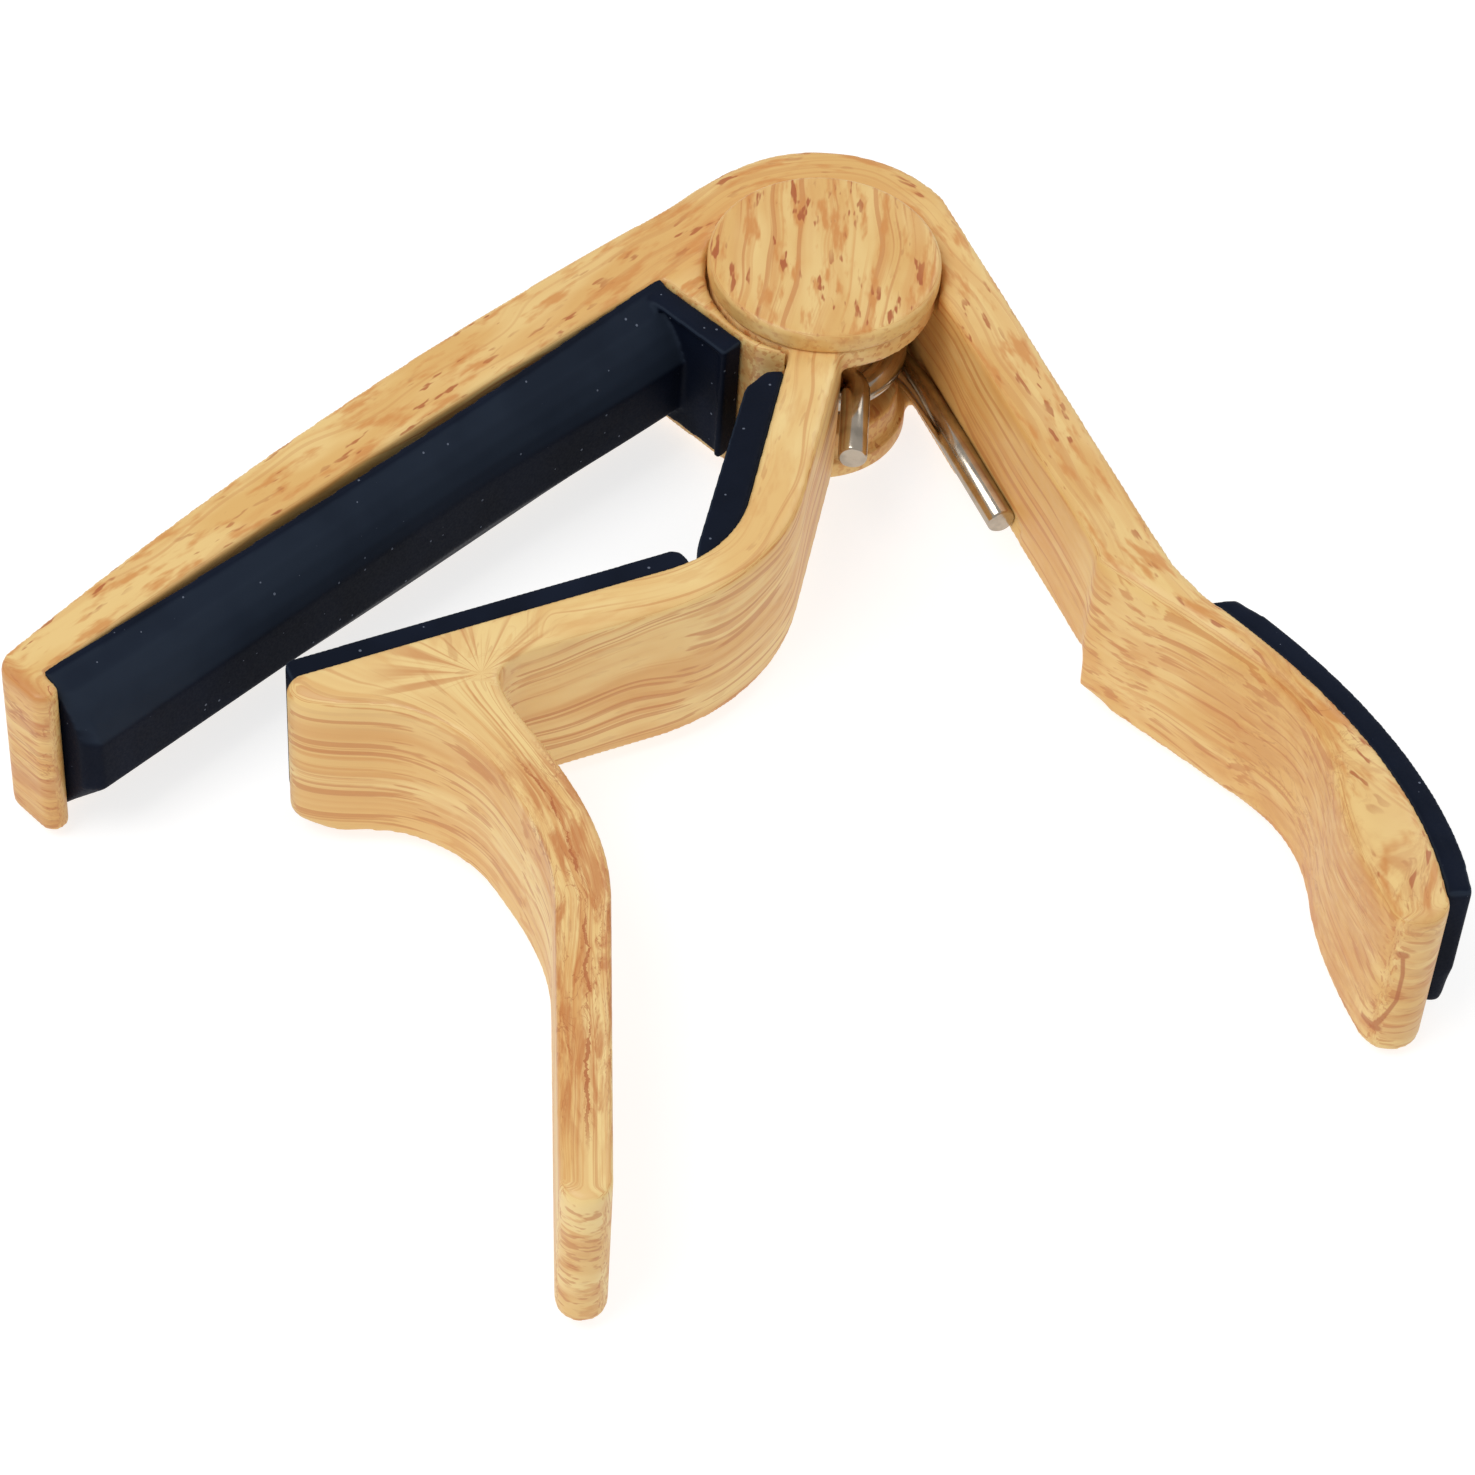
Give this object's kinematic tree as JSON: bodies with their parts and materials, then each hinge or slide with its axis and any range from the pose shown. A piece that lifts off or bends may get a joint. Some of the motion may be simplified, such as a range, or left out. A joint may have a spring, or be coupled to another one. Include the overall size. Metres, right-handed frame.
{
  "type": "guitar capo",
  "caption": "Trigger-style spring clamp capo: padded string bar and curved palm handle in one arm, hinged to a lever with a padded neck cradle and long finger lever.",
  "frame": {"origin": "hinge axis, on the underside of the flange below the hinge boss, where the capo rests on a table", "axes": "+Z along the hinge axis, up out of the cap; +X to the right and +Y away when the capo is seen with the hinge at the far side and both levers towards the viewer"},
  "size_m": [0.1041, 0.1025, 0.0172],
  "materials": {
    "wood_film": "wood-grain film under a satin clear coat",
    "spring_steel": "polished nickel plate",
    "steel": "plain machined",
    "silicone": "matte with light dust"
  },
  "bodies": {
    "frame": {"string_arm": "wood_film", "pivot_pin": "steel", "hinge_cap": "wood_film", "lower_washer": "steel", "torsion_spring": "spring_steel", "string_pad": "silicone", "grip_pad": "silicone"},
    "lever": {"lever_arm": "wood_film", "upper_washer": "steel", "throat_pad": "silicone", "cradle_pad": "silicone"}
  },
  "joints": [
    {"name": "lever_hinge", "type": "hinge", "parent": "frame", "child": "lever", "pos_m": [0, 0, 0.008], "axis": [0, 0, 1], "range_deg": [0, 36], "stiffness_Nm_per_rad": 2.6, "springref_deg": -40.11, "deforming": ["torsion_spring"]}
  ]
}
